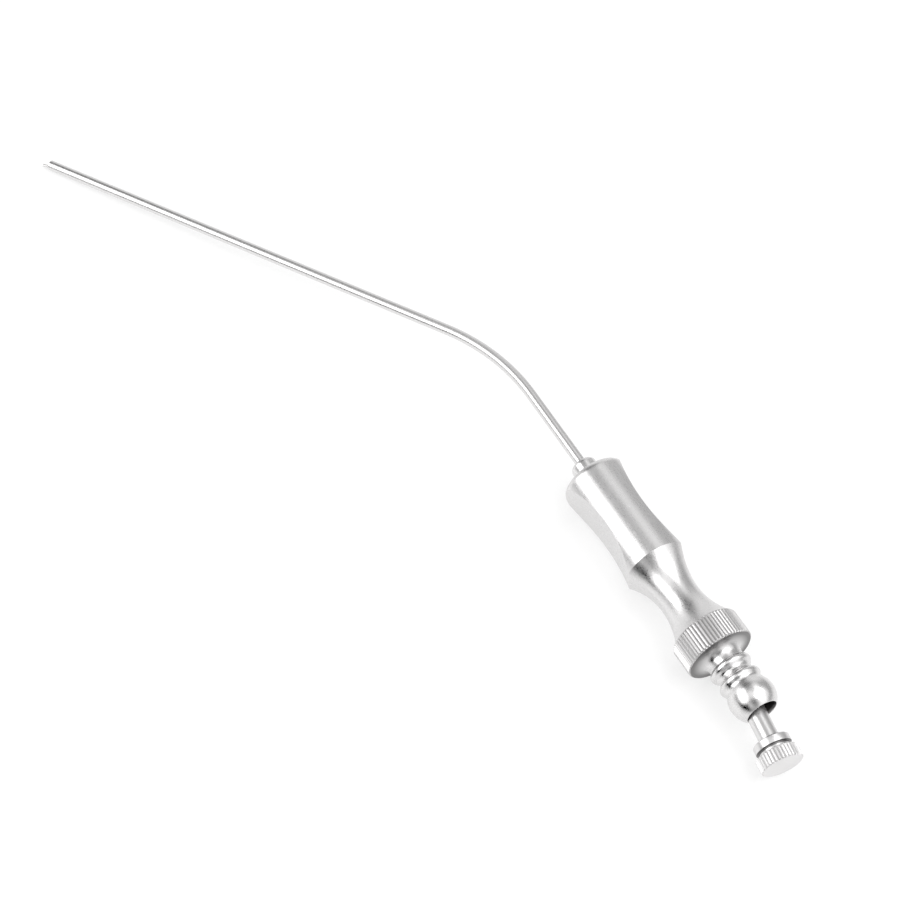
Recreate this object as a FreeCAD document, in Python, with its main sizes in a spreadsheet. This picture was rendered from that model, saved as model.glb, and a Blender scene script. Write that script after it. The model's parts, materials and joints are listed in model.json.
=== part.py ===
import FreeCAD, Part
import math
import os
import re
import Sketcher

# Frazier suction tube with its stylet, in millimetres.
# It is drawn in the instrument's own frame: X runs forward along the handle from the hose
# mouth, Y points to the hollow side of the tube's bend, Z stands across the bend.
# At the end every piece is turned as it comes to rest, lying on a table at Z = 0.

doc = FreeCAD.newDocument("frazier_suction_tube")
sheet = doc.addObject("Spreadsheet::Sheet", "Sizes")
V = FreeCAD.Vector

SIZES = (
    # cannula: a thin drawn tube with one bend
    ("TubeRadius", 1.0),
    ("TubeWall", 0.15),
    ("StraightLength", 21.2),
    ("BendRadius", 41.0),
    ("BendAngle", 31.0),
    ("TipLength", 91.5),
    # grip: a turned bar with a ridge, a waist and two scoops
    ("GripRadius", 6.2),
    ("WaistRadius", 3.75),
    ("WaistX", 25.0),
    ("RidgeX", 32.7),
    ("RimX", 53.9),
    ("RimRounding", 1.5),
    ("AirwayRadius", 1.5),
    ("ScoopX", 42.6),
    ("ScoopArc", 34.0),
    ("FingerScoopDistance", 4.05),
    ("ThumbScoopDistance", 3.6),
    ("WaistScoopDistance", 3.55),
    ("VentX", 41.6),
    ("VentRadius", 1.3),
    ("VentTailLength", 3.6),
    ("VentTailRadius", 0.45),
    # collar: the bush that holds the tube in the grip
    ("CollarRadius", 2.4),
    ("CollarLength", 3.5),
    ("CollarRounding", 0.9),
    ("CollarSpigotRadius", 1.9),
    ("CollarSpigotLength", 5.0),
    # hose connector: ball, barb rings, knurled ring and spigot
    ("MouthRadius", 2.85),
    ("TaperLength", 16.0),
    ("StemRadius", 3.3),
    ("BallRadius", 4.2),
    ("BallX", 2.95),
    ("BarbRadius", 3.9),
    ("BarbArc", 1.25),
    ("BarbX", 6.5),
    ("BarbPitch", 2.85),
    ("BarbCount", 2),
    ("CoveArc", 1.7),
    ("RingX", 12.4),
    ("RingWidth", 5.25),
    ("RingRadius", 6.3),
    ("RingChamfer", 0.3),
    ("RingRidges", 60),
    ("KnurlDepth", 0.28),
    ("KnurlOpening", 0.7),
    ("SpigotRadius", 2.6),
    ("SpigotLength", 5.5),
    # stylet: a thin wire in a turned hub
    ("WireRadius", 0.25),
    ("WireSocketDepth", 4.0),
    ("WireReach", 1.6),
    ("WirePlay", 0.4),
    ("WireTurnX", 13.5),
    ("TipCrossing", 6.0),
    ("TipRise", 0.35),
    ("TipDroop", 0.2),
    ("ShaftRadius", 1.8),
    ("ShaftInside", 9.0),
    ("ShaftOutside", 4.9),
    ("FlangeRadius", 3.25),
    ("FlangeWidth", 1.4),
    ("GrooveRadius", 2.75),
    ("GrooveWidth", 0.9),
    ("HeadRadius", 3.8),
    ("HeadWidth", 2.45),
    ("HeadRidges", 36),
    ("HubChamfer", 0.2),
    ("HubYaw", 8.0),
    ("HubDroop", 3.15),
    # what is left between pieces that fit into each other
    ("FitClearance", 0.02),
)

for row, (alias, value) in enumerate(SIZES, start=1):
    sheet.set("A%d" % row, alias)
    sheet.set("B%d" % row, str(value))
    sheet.setAlias("B%d" % row, alias)
doc.recompute()


def cells(expression):
    """Write the size names in an expression as cells of the sheet."""
    names = "|".join(alias for alias, value in SIZES)
    return re.sub(r"\b(%s)\b" % names, r"Sizes.\1", expression)


def size(expression):
    """The number that an expression of size names stands for."""
    return float(sheet.evalExpression(cells(expression)))


def origin_plane(body, role):
    return [plane for plane in body.Origin.OriginFeatures if plane.Role == role][0]


def new_sketch(body, name, role):
    sketch = body.newObject("Sketcher::SketchObject", name)
    sketch.AttachmentSupport = [(origin_plane(body, role), "")]
    sketch.MapMode = "FlatFace"
    return sketch


def hold(sketch, constraint, name, expression):
    """Add a dimension to a sketch and bind it to the sheet."""
    index = sketch.addConstraint(constraint)
    sketch.renameConstraint(index, name)
    sketch.setExpression(".Constraints." + name, cells(expression))


def hold_point(sketch, edge, end, name, across, along):
    """Hold one end of an edge at two expressions, or on an axis where one is zero."""
    on_axis = {"across": -2, "along": -1}
    if across == "0":
        sketch.addConstraint(Sketcher.Constraint("PointOnObject", edge, end, on_axis["across"]))
    else:
        dimension = Sketcher.Constraint("DistanceX", -1, 1, edge, end, size(across))
        hold(sketch, dimension, name + "_x", across)
    if along == "0":
        sketch.addConstraint(Sketcher.Constraint("PointOnObject", edge, end, on_axis["along"]))
    else:
        dimension = Sketcher.Constraint("DistanceY", -1, 1, edge, end, size(along))
        hold(sketch, dimension, name + "_y", along)


def arc_through(start, end, radius, turn):
    """The arc of a radius between two points; turn is +1 for a left turn and -1 for a right."""
    chord = end - start
    middle = (start + end) * 0.5
    left = V(-chord.y, chord.x, 0).normalize()
    rise = math.sqrt(max(radius ** 2 - (chord.Length / 2) ** 2, 0.0))
    centre = middle + left * rise * turn
    first, last = (start, end) if turn > 0 else (end, start)
    angles = [math.atan2(point.y - centre.y, point.x - centre.x) for point in (first, last)]
    return Part.ArcOfCircle(Part.Circle(centre, V(0, 0, 1), radius), angles[0], angles[1])


def outline(body, name, role, corners):
    """A closed outline. Each corner is (across, along), with (radius, turn) for an arc after it."""
    sketch = new_sketch(body, name, role)
    points = [V(size(corner[0]), size(corner[1]), 0) for corner in corners]
    count = len(corners)
    starts = []
    ends = []
    for index, corner in enumerate(corners):
        start = points[index]
        end = points[(index + 1) % count]
        if len(corner) == 2:
            edge = sketch.addGeometry(Part.LineSegment(start, end))
            starts.append((edge, 1))
            ends.append((edge, 2))
            continue
        radius, turn = corner[2:]
        edge = sketch.addGeometry(arc_through(start, end, size(radius), turn))
        starts.append((edge, 1 if turn > 0 else 2))
        ends.append((edge, 2 if turn > 0 else 1))
    for index, corner in enumerate(corners):
        edge, end = starts[index]
        sketch.addConstraint(Sketcher.Constraint("Coincident", *ends[index - 1], edge, end))
        hold_point(sketch, edge, end, "corner_%d" % index, corner[0], corner[1])
    for index, corner in enumerate(corners):
        if len(corner) == 4:
            edge = starts[index][0]
            dimension = Sketcher.Constraint("Radius", edge, size(corner[2]))
            hold(sketch, dimension, "radius_%d" % index, corner[2])
    return sketch


def turned(body, name, corners):
    """A solid of revolution about the X axis."""
    sketch = outline(body, name + "_outline", "XY_Plane", corners)
    revolution = body.newObject("PartDesign::Revolution", name)
    revolution.Profile = sketch
    revolution.ReferenceAxis = (sketch, ["H_Axis"])
    revolution.Angle = 360.0
    sketch.Visibility = False
    doc.recompute()
    return revolution


def cut(body, name, sketch, **settings):
    """A pocket that has to take material away."""
    before = body.Shape.Volume
    pocket = body.newObject("PartDesign::Pocket", name)
    pocket.Profile = sketch
    for key, value in settings.items():
        setattr(pocket, key, value)
    doc.recompute()
    if body.Shape.Volume > before - 1e-4:
        raise RuntimeError(name + " cuts nothing")
    return pocket


def knurl(body, name, radius, ridges):
    """Straight V grooves all round a turned rim. They open over a share of their pitch there,
    and the cut goes on a quarter of their depth past the rim."""
    half_groove = "%s * sin(180 / %s * KnurlOpening)" % (radius, ridges)
    lip_across = half_groove + " * 5 / 4"
    lip_along = radius + " + KnurlDepth / 4"
    sketch = new_sketch(body, name + "_groove_outline", "YZ_Plane")
    top = V(-size(lip_across), size(lip_along), 0)
    foot = V(0, size(radius + " - KnurlDepth"), 0)
    other = V(size(lip_across), size(lip_along), 0)
    for start, end in ((top, foot), (foot, other), (other, top)):
        sketch.addGeometry(Part.LineSegment(start, end))
    for edge in range(3):
        sketch.addConstraint(Sketcher.Constraint("Coincident", edge, 2, (edge + 1) % 3, 1))
    sketch.addConstraint(Sketcher.Constraint("Symmetric", 0, 1, 1, 2, -2))
    hold_point(sketch, 1, 1, "foot", "0", radius + " - KnurlDepth")
    hold_point(sketch, 1, 2, "lip", lip_across, lip_along)
    groove = cut(body, name + "_groove", sketch, SideType="Symmetric", Type="ThroughAll")
    pattern = body.newObject("PartDesign::PolarPattern", name)
    pattern.Originals = [groove]
    pattern.Axis = (origin_axis(body, "X_Axis"), [""])
    pattern.Angle = 360.0
    pattern.Occurrences = int(size(ridges))
    pattern.setExpression("Occurrences", cells(ridges))
    body.Tip = pattern
    doc.recompute()
    return pattern


def origin_axis(body, role):
    return [axis for axis in body.Origin.OriginFeatures if axis.Role == role][0]


def new_body(label):
    body = doc.addObject("PartDesign::Body", label)
    body.Label = label
    return body


# cannula: a steel tube drawn to size, bent once and cut square at both ends
TUBE_START = "RimX - CollarSpigotLength"
BEND_START = "RimX + StraightLength"


def bend_end(offset_radius):
    """Where an arc about the bend's centre ends, as two expressions."""
    across = "%s + %s * sin(BendAngle)" % (BEND_START, offset_radius)
    along = "BendRadius - %s * cos(BendAngle)" % offset_radius
    return across, along


def make_cannula():
    body = new_body("cannula")
    path = new_sketch(body, "cannula_path", "XY_Plane")
    start = V(size(TUBE_START), 0, 0)
    bend_start = V(size(BEND_START), 0, 0)
    angle = math.radians(size("BendAngle"))
    radius = size("BendRadius")
    finish = bend_start + V(radius * math.sin(angle), radius * (1 - math.cos(angle)), 0)
    tip = finish + V(math.cos(angle), math.sin(angle), 0) * size("TipLength")
    path.addGeometry(Part.LineSegment(start, bend_start))
    bend = Part.Circle(V(bend_start.x, radius, 0), V(0, 0, 1), radius)
    path.addGeometry(Part.ArcOfCircle(bend, -math.pi / 2, angle - math.pi / 2))
    path.addGeometry(Part.LineSegment(finish, tip))
    hold_point(path, 0, 1, "start", TUBE_START, "0")
    hold_point(path, 0, 2, "bend_start", BEND_START, "0")
    path.addConstraint(Sketcher.Constraint("Tangent", 0, 2, 1, 1))
    path.addConstraint(Sketcher.Constraint("Tangent", 1, 2, 2, 1))
    hold(path, Sketcher.Constraint("Radius", 1, radius), "bend_radius", "BendRadius")
    hold(path, Sketcher.Constraint("Distance", 2, size("TipLength")), "tip_length", "TipLength")
    leg = Sketcher.Constraint("Angle", -1, 1, 2, 1, angle)
    index = path.addConstraint(leg)
    path.renameConstraint(index, "bend_angle")
    path.setExpression(".Constraints.bend_angle", cells("BendAngle * 1 deg"))

    section = new_sketch(body, "cannula_section", "YZ_Plane")
    section.setExpression(".AttachmentOffset.Base.z", cells(TUBE_START))
    for index, expression in enumerate(("TubeRadius", "TubeRadius - TubeWall")):
        section.addGeometry(Part.Circle(V(0, 0, 0), V(0, 0, 1), size(expression)))
        section.addConstraint(Sketcher.Constraint("Coincident", index, 3, -1, 1))
        dimension = Sketcher.Constraint("Radius", index, size(expression))
        hold(section, dimension, "circle_%d" % index, expression)
    doc.recompute()

    pipe = body.newObject("PartDesign::AdditivePipe", "cannula_tube")
    pipe.Profile = section
    pipe.Spine = (path, ["Edge1", "Edge2", "Edge3"])
    doc.recompute()
    length = size("CollarSpigotLength + StraightLength + TipLength") + radius * angle
    area = math.pi * (size("TubeRadius") ** 2 - size("TubeRadius - TubeWall") ** 2)
    if abs(body.Shape.Volume / (area * length) - 1.0) > 0.002:
        raise RuntimeError("the cannula's volume is not its section times its length")
    return body


# collar: a turned bush, soldered round the tube and into the grip's front face
def make_collar():
    bore = "TubeRadius + FitClearance"
    front = "RimX + CollarLength"
    body = new_body("collar")
    turned(body, "collar_turning", [
        ("RimX - CollarSpigotLength", bore),
        ("RimX - CollarSpigotLength", "CollarSpigotRadius"),
        ("RimX", "CollarSpigotRadius"),
        ("RimX", "CollarRadius"),
        (front + " - CollarRounding", "CollarRadius", "CollarRounding", -1),
        (front, "CollarRadius - CollarRounding"),
        (front, bore),
    ])
    return body


# grip: turned from bar, then a finger scoop and a thumb scoop milled across the bend plane,
# and the finger vent cut through the thumb scoop into the airway
RING_FRONT = "RingX + RingWidth"


def arc_height(lowest, radius, middle, place):
    """How far out a hollow arc is at a place, from its lowest point."""
    return "%s + %s - sqrt((%s) ^ 2 - (%s - (%s)) ^ 2)" % (lowest, radius, radius, place, middle)


def arc_from_rise(reach, rise):
    """The radius of the arc that rises so far over that reach, level at its lowest point."""
    return "(((%s) ^ 2 + (%s) ^ 2) / (2 * (%s)))" % (reach, rise, rise)


def make_scoop(body, name, distance, side):
    """One side's scoops: an arc from the rim to the ridge, and one over the waist behind it."""
    ridge_height = arc_height(distance, "ScoopArc", "ScoopX", "RidgeX")
    rim_height = arc_height(distance, "ScoopArc", "ScoopX", "RimX")
    rise = "%s - WaistScoopDistance" % ridge_height
    waist_arc = arc_from_rise("RidgeX - WaistX", rise)
    ring_height = arc_height("WaistScoopDistance", waist_arc, "WaistX", RING_FRONT)
    outside = "GripRadius * 1.2"
    signed = {1: "%s", -1: "-(%s)"}[side]
    sketch = outline(body, name + "_outline", "XY_Plane", [
        (RING_FRONT, signed % outside),
        (RING_FRONT, signed % ring_height, waist_arc, side),
        ("RidgeX", signed % ridge_height, "ScoopArc", side),
        ("RimX", signed % rim_height),
        ("RimX", signed % outside),
    ])
    return cut(body, name, sketch, SideType="Symmetric", Type="ThroughAll")


def make_vent(body):
    """A drop-shaped hole: a round end and a narrowing tail towards the tube."""
    lean = "acos((VentRadius - VentTailRadius) / VentTailLength)"
    tail_x = "(VentX + VentTailLength)"
    round_x = "VentX + VentRadius * cos(%s)" % lean
    round_y = "VentRadius * sin(%s)" % lean
    narrow_x = "%s + VentTailRadius * cos(%s)" % (tail_x, lean)
    narrow_y = "VentTailRadius * sin(%s)" % lean
    sketch = outline(body, "vent_outline", "XZ_Plane", [
        (round_x, round_y),
        (narrow_x, narrow_y, "VentTailRadius", -1),
        (narrow_x, "-" + narrow_y),
        (round_x, "-" + round_y),
        ("VentX - VentRadius", "0", "VentRadius", -1),
    ])
    return cut(body, "finger_vent", sketch, Type="ThroughAll", Reversed=True)


def make_grip():
    neck_arc = arc_from_rise("RidgeX - WaistX", "(GripRadius - WaistRadius)")
    neck_end = arc_height("WaistRadius", neck_arc, "WaistX", RING_FRONT)
    collar_seat = "CollarSpigotRadius + FitClearance"
    spigot_seat = "SpigotRadius + FitClearance"
    spigot_end = RING_FRONT + " + SpigotLength + FitClearance"
    collar_end = "RimX - CollarSpigotLength - FitClearance"
    body = new_body("grip")
    turned(body, "grip_turning", [
        (RING_FRONT, spigot_seat),
        (RING_FRONT, neck_end, neck_arc, 1),
        ("RidgeX", "GripRadius"),
        ("RimX - RimRounding", "GripRadius", "RimRounding", -1),
        ("RimX", "GripRadius - RimRounding"),
        ("RimX", collar_seat),
        (collar_end, collar_seat),
        (collar_end, "AirwayRadius"),
        (spigot_end, "AirwayRadius"),
        (spigot_end, spigot_seat),
    ])
    make_scoop(body, "finger_scoop", "FingerScoopDistance", 1)
    make_scoop(body, "thumb_scoop", "ThumbScoopDistance", -1)
    make_vent(body)
    return body


# hose connector: turned in one piece, with a ball and rings that hold the hose, and knurled
def make_connector():
    # each bead's arc ends a quarter of its radius below the stem's surface
    barb_foot = "(StemRadius - BarbArc / 4)"
    barb_reach = "sqrt(BarbArc ^ 2 - (%s - BarbRadius + BarbArc) ^ 2)" % barb_foot
    spigot_end = RING_FRONT + " + SpigotLength"
    body = new_body("hose_connector")
    turned(body, "stem", [
        ("BallX", "0"),
        ("BallX", "StemRadius"),
        ("RingX - CoveArc", "StemRadius", "CoveArc", 1),
        ("RingX", "StemRadius + CoveArc"),
        ("RingX", "RingRadius - RingChamfer"),
        ("RingX + RingChamfer", "RingRadius"),
        (RING_FRONT + " - RingChamfer", "RingRadius"),
        (RING_FRONT, "RingRadius - RingChamfer"),
        (RING_FRONT, "SpigotRadius"),
        (spigot_end, "SpigotRadius"),
        (spigot_end, "0"),
    ])
    turned(body, "ball", [
        ("0", "0"),
        ("0", "sqrt(BallRadius ^ 2 - BallX ^ 2)", "BallRadius", -1),
        ("BallX + BallRadius", "0"),
    ])
    barb = turned(body, "barb", [
        ("BarbX - " + barb_reach, "0"),
        ("BarbX - " + barb_reach, barb_foot, "BarbArc", -1),
        ("BarbX + " + barb_reach, barb_foot),
        ("BarbX + " + barb_reach, "0"),
    ])
    barbs = body.newObject("PartDesign::LinearPattern", "barbs")
    barbs.Originals = [barb]
    barbs.Direction = (origin_axis(body, "X_Axis"), [""])
    barbs.Length = size("BarbPitch * (BarbCount - 1)")
    barbs.setExpression("Length", cells("BarbPitch * (BarbCount - 1)"))
    barbs.Occurrences = int(size("BarbCount"))
    barbs.setExpression("Occurrences", cells("BarbCount"))
    body.Tip = barbs
    doc.recompute()

    before = body.Shape.Volume
    bore = body.newObject("PartDesign::Groove", "airway")
    bore.Profile = outline(body, "airway_outline", "XY_Plane", [
        ("0", "0"),
        ("0", "MouthRadius"),
        ("TaperLength", "AirwayRadius"),
        (spigot_end, "AirwayRadius"),
        (spigot_end, "0"),
    ])
    bore.ReferenceAxis = (bore.Profile[0], ["H_Axis"])
    bore.Angle = 360.0
    body.Tip = bore
    doc.recompute()
    if body.Shape.Volume > before - 1.0:
        raise RuntimeError("the connector's airway cuts nothing")
    knurl(body, "ring_knurl", "RingRadius", "RingRidges")
    return body


# stylet hub: a turned and knurled knob whose shaft stands in the hose mouth. It is drawn
# with X running back from the shaft's inner end.
def make_hub():
    socket = "WireRadius + FitClearance"
    flange = "ShaftInside + ShaftOutside"
    groove = flange + " + FlangeWidth"
    head = groove + " + GrooveWidth"
    end = head + " + HeadWidth"
    body = new_body("stylet_hub")
    turned(body, "hub_turning", [
        ("0", socket),
        ("0", "ShaftRadius - HubChamfer"),
        ("HubChamfer", "ShaftRadius"),
        (flange, "ShaftRadius"),
        (flange, "FlangeRadius - HubChamfer"),
        (flange + " + HubChamfer", "FlangeRadius"),
        (groove, "FlangeRadius"),
        (groove, "GrooveRadius"),
        (head, "GrooveRadius"),
        (head, "HeadRadius - HubChamfer"),
        (head + " + HubChamfer", "HeadRadius"),
        (end + " - HubChamfer", "HeadRadius"),
        (end, "HeadRadius - HubChamfer"),
        (end, "0"),
        ("WireSocketDepth", "0"),
        ("WireSocketDepth", socket),
    ])
    knurl(body, "head_knurl", "HeadRadius", "HeadRidges")
    return body


def hub_placement():
    """The shaft leans in the wider mouth until its side rests on the mouth's edge."""
    yaw = math.radians(size("HubYaw"))
    droop = math.radians(size("HubDroop"))
    back = V(-math.cos(yaw) * math.cos(droop), math.sin(yaw) * math.cos(droop), -math.sin(droop))
    tilt = math.acos(-back.x)
    leaning = V(0, back.y, back.z).normalize()
    room = size("MouthRadius - FitClearance") - size("ShaftRadius") / math.cos(tilt)
    inner_end = leaning * room - back * size("ShaftInside")
    return FreeCAD.Placement(inner_end, FreeCAD.Rotation(V(1, 0, 0), back))


# stylet wire: straight runs joined by tangent arcs, from its hub through the handle and the
# tube. It bears on the outer side before and after the bend and on the inner side within it.
def rounded_wire(points, radii):
    """Straight runs through the points, with a tangent arc of each radius at the inner ones."""
    edges = []
    start = points[0]
    for index, radius in enumerate(radii, start=1):
        corner = points[index]
        incoming = (corner - points[index - 1]).normalize()
        outgoing = (points[index + 1] - corner).normalize()
        half_turn = incoming.getAngle(outgoing) / 2
        setback = radius * math.tan(half_turn)
        inward = (outgoing - incoming).normalize()
        centre = corner + inward * (radius / math.cos(half_turn))
        arc_start = corner - incoming * setback
        arc_end = corner + outgoing * setback
        edges.append(Part.LineSegment(start, arc_start).toShape())
        edges.append(Part.Arc(arc_start, centre - inward * radius, arc_end).toShape())
        start = arc_end
    edges.append(Part.LineSegment(start, points[-1]).toShape())
    return Part.Wire(edges)


def gentle_radius(before, corner, after):
    """The largest easy arc that two runs allow at their corner."""
    incoming = corner - before
    outgoing = after - corner
    half_turn = incoming.getAngle(outgoing) / 2
    return 0.45 * min(incoming.Length, outgoing.Length) / math.tan(half_turn)


def wire_points():
    """The wire's corners, and the bend's own radius."""
    hub = hub_placement()
    play = size("WirePlay")
    bend = math.radians(size("BendAngle"))
    along = V(math.cos(bend), math.sin(bend), 0)
    inward = V(-math.sin(bend), math.cos(bend), 0)
    straight_end = size(BEND_START)
    tube_corner = V(straight_end + size("BendRadius") * math.tan(bend / 2), 0, 0)
    tube_tip = tube_corner + along * (size("BendRadius") * math.tan(bend / 2) + size("TipLength"))

    socket_end = hub.multVec(V(size("WireSocketDepth - FitClearance"), 0, 0))
    forward = hub.Rotation.multVec(V(-1, 0, 0))
    turn = socket_end + forward * ((size("WireTurnX") - socket_end.x) / forward.x)
    entry = V(size(TUBE_START), -play, 0)
    secant = 1 / math.cos(bend / 2)
    bend_corner = tube_corner + V(play * math.tan(bend / 2), -play, 0)
    rise = size("BendRadius") * (secant - 1) + play * (secant + 1)
    bend_radius = rise / (secant - 1)
    crossing = tube_tip - along * size("TipCrossing") - inward * play
    exit_point = tube_tip + inward * size("TipRise")
    crossing_run = exit_point - crossing
    stretch = 1 + size("WireReach") / crossing_run.Length
    end = crossing + crossing_run * stretch - V(0, 0, size("TipDroop"))
    points = [socket_end, turn, entry, bend_corner, crossing, end]
    corners = range(1, len(points) - 1)
    radii = [gentle_radius(*points[index - 1:index + 2]) for index in corners]
    radii[points.index(bend_corner) - 1] = bend_radius
    return points, radii


def make_wire():
    points, radii = wire_points()
    print("wire radii", [round(radius, 1) for radius in radii])
    path = rounded_wire(points, radii)
    circle = Part.Circle(points[0], points[1] - points[0], size("WireRadius"))
    section = Part.Wire([circle.toShape()])
    wire = doc.addObject("Part::Feature", "stylet_wire")
    wire.Label = "stylet_wire"
    wire.Shape = path.makePipeShell([section], True, False)
    expected = math.pi * size("WireRadius") ** 2 * path.Length
    if abs(wire.Shape.Volume / expected - 1.0) > 0.005:
        raise RuntimeError("the wire's volume is not its section times its length")
    return wire


# rest: the ring and the grip's front lie on the table, and the instrument has rolled about
# the handle until the tube's tip touches it too
def rest_placement(shapes):
    ring_x = size(RING_FRONT + " - RingChamfer")
    rim_x = size("RimX - RimRounding")
    pitch = math.atan(size("RingRadius - GripRadius") / (rim_x - ring_x))
    axis_height = size("RingRadius") * math.cos(pitch) + ring_x * math.sin(pitch)
    bend = math.radians(size("BendAngle"))
    tip_x = size(bend_end("BendRadius")[0]) + size("TipLength") * math.cos(bend)
    tip_y = size("BendRadius") * (1 - math.cos(bend)) + size("TipLength") * math.sin(bend)
    drop = axis_height - tip_x * math.sin(pitch) - size("TubeRadius")
    roll = math.asin(drop / (tip_y * math.cos(pitch)))
    turn = FreeCAD.Rotation(V(0, 1, 0), math.degrees(pitch))
    turn = turn.multiply(FreeCAD.Rotation(V(1, 0, 0), -math.degrees(roll)))
    lying = Part.makeCompound(shapes)
    lying.Placement = FreeCAD.Placement(V(0, 0, 0), turn)
    box = lying.optimalBoundingBox(False, False)
    shift = V(-(box.XMin + box.XMax) / 2, -(box.YMin + box.YMax) / 2, -box.ZMin)
    return FreeCAD.Placement(shift, turn)


pieces = [make_cannula(), make_collar(), make_grip(), make_connector(), make_hub(), make_wire()]
hub = doc.getObject("stylet_hub")
hub.Placement = hub_placement()
doc.recompute()
rest = rest_placement([piece.Shape for piece in pieces])
for piece in pieces:
    piece.Placement = rest.multiply(piece.Placement)
doc.recompute()

for item in doc.Objects:
    if "Invalid" in item.State or "Error" in item.State:
        raise RuntimeError("%s has failed: %s" % (item.Name, item.State))
for piece in pieces:
    if piece.Shape.isNull() or not piece.Shape.isValid() or len(piece.Shape.Solids) != 1:
        raise RuntimeError(piece.Label + " is not one sound solid")

os.makedirs("parts", exist_ok=True)
for piece in pieces:
    piece.Shape.exportStep("parts/%s.step" % piece.Label)
    box = piece.Shape.optimalBoundingBox(False, False)
    corners = (box.XMin, box.YMin, box.ZMin, box.XMax, box.YMax, box.ZMax)
    print(piece.Label, round(piece.Shape.Volume, 2), [round(corner, 3) for corner in corners])
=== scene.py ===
import json
import math

import bmesh
import bpy
from mathutils import Matrix, Vector


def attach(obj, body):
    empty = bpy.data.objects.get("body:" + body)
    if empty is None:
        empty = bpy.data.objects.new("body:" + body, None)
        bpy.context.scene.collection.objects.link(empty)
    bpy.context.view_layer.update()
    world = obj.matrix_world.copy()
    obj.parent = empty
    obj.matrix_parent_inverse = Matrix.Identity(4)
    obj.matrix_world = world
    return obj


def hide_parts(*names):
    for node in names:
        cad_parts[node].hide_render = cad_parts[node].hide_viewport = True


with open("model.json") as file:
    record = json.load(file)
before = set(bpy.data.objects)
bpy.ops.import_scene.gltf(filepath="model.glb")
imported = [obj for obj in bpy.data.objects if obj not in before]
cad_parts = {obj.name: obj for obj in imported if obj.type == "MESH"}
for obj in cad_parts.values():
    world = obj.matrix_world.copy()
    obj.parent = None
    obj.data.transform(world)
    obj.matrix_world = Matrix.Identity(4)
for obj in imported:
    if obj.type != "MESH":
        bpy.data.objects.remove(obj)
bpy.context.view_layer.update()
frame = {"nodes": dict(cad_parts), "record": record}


# Hose connector. One piece of stainless steel, turned on a lathe and polished: a ball and two
# rings grip the suction hose, and a hollow cove runs out to a wide ring with a straight knurl.
# Its mouth tapers in to the airway, and its spigot is pressed into the grip.
MM = 0.001
MOUTH_RADIUS = 2.85
AIRWAY_RADIUS = 1.5
TAPER_LENGTH = 16.0
STEM_RADIUS = 3.3
BALL_RADIUS = 4.2
BALL_X = 2.95
BARB_RADIUS = 3.9
BARB_ARC = 0.8
BARB_X = 6.5
BARB_PITCH = 2.85
VALLEY_ARC = 0.95
COVE_ARC = 1.7
RING_X = 12.4
RING_WIDTH = 5.25
RING_RADIUS = 6.3
RING_CHAMFER = 0.3
RING_RIDGES = 60
KNURL_DEPTH = 0.28
KNURL_CREST = 0.3
SPIGOT_RADIUS = 2.6
SPIGOT_LENGTH = 5.5
EDGE_BREAK = 0.07
SHARPEST_LEFT = math.radians(25)
MOST_SETBACK = 0.4
ROUND_STEPS = 20
VALLEY_STEPS = 6
COVE_STEPS = 16
RING_FRONT = RING_X + RING_WIDTH

# The instrument's own frame has X forward along the handle from the hose mouth, Y towards the
# hollow side of the tube's bend and Z across the bend. The record's two interfaces give it.
mounts = {mount["name"]: mount for mount in frame["record"]["mounts"]}
mouth_place = Vector(mounts["hose_connector_end"]["pos_m"])
handle_axis = -Vector(mounts["hose_connector_end"]["axis"]).normalized()
tip_axis = Vector(mounts["cannula_tip"]["axis"]).normalized()
bend_normal = handle_axis.cross(tip_axis).normalized()
hollow_side = bend_normal.cross(handle_axis)


def frame_matrix(forward, left, upward, place):
    """The matrix of a frame with these three directions at that place."""
    matrix = Matrix((forward, left, upward)).transposed().to_4x4()
    matrix.translation = place
    return matrix


instrument = frame_matrix(handle_axis, hollow_side, bend_normal, mouth_place)


def arc_points(centre_x, centre_r, radius, start, end, steps):
    """Points of an arc of a turned outline, from one angle to another in degrees."""
    points = []
    for step in range(steps + 1):
        angle = math.radians(start + (end - start) * step / steps)
        points.append((centre_x + radius * math.cos(angle), centre_r + radius * math.sin(angle)))
    return points


def valley(first, second, radius, steps):
    """Points of the small arc that joins two round beads, each (x, r, radius), and its ends."""
    start = Vector(first[:2])
    step = Vector(second[:2]) - start
    reach = first[2] + radius
    other = second[2] + radius
    along = (reach ** 2 - other ** 2 + step.length_squared) / (2 * step.length)
    out = math.sqrt(reach ** 2 - along ** 2)
    unit = step.normalized()
    centre = start + unit * along + Vector((-unit.y, unit.x)) * out
    angles = [math.degrees(math.atan2(*reversed(Vector(bead[:2]) - centre))) for bead in (first, second)]
    if angles[1] < angles[0]:
        angles[1] += 360
    return arc_points(*centre, radius, angles[0], angles[1], steps), angles


def break_corners(outline, size):
    """A closed turned outline with each sharp corner off the axis rounded by that radius."""
    points = [Vector(point) for point in outline]
    rounded = []
    for index, corner in enumerate(points):
        before = points[index - 1] - corner
        after = points[(index + 1) % len(points)] - corner
        turn = math.pi - before.angle(after)
        if turn < SHARPEST_LEFT or corner.y < 1e-6:
            rounded.append(corner)
            continue
        setback = min(size * math.tan(turn / 2), MOST_SETBACK * before.length, MOST_SETBACK * after.length)
        first = corner + before.normalized() * setback
        last = corner + after.normalized() * setback
        for part in (0.0, 0.33, 0.67, 1.0):
            rounded.append(first.lerp(corner, part).lerp(corner.lerp(last, part), part))
    return [tuple(point) for point in rounded]


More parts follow.
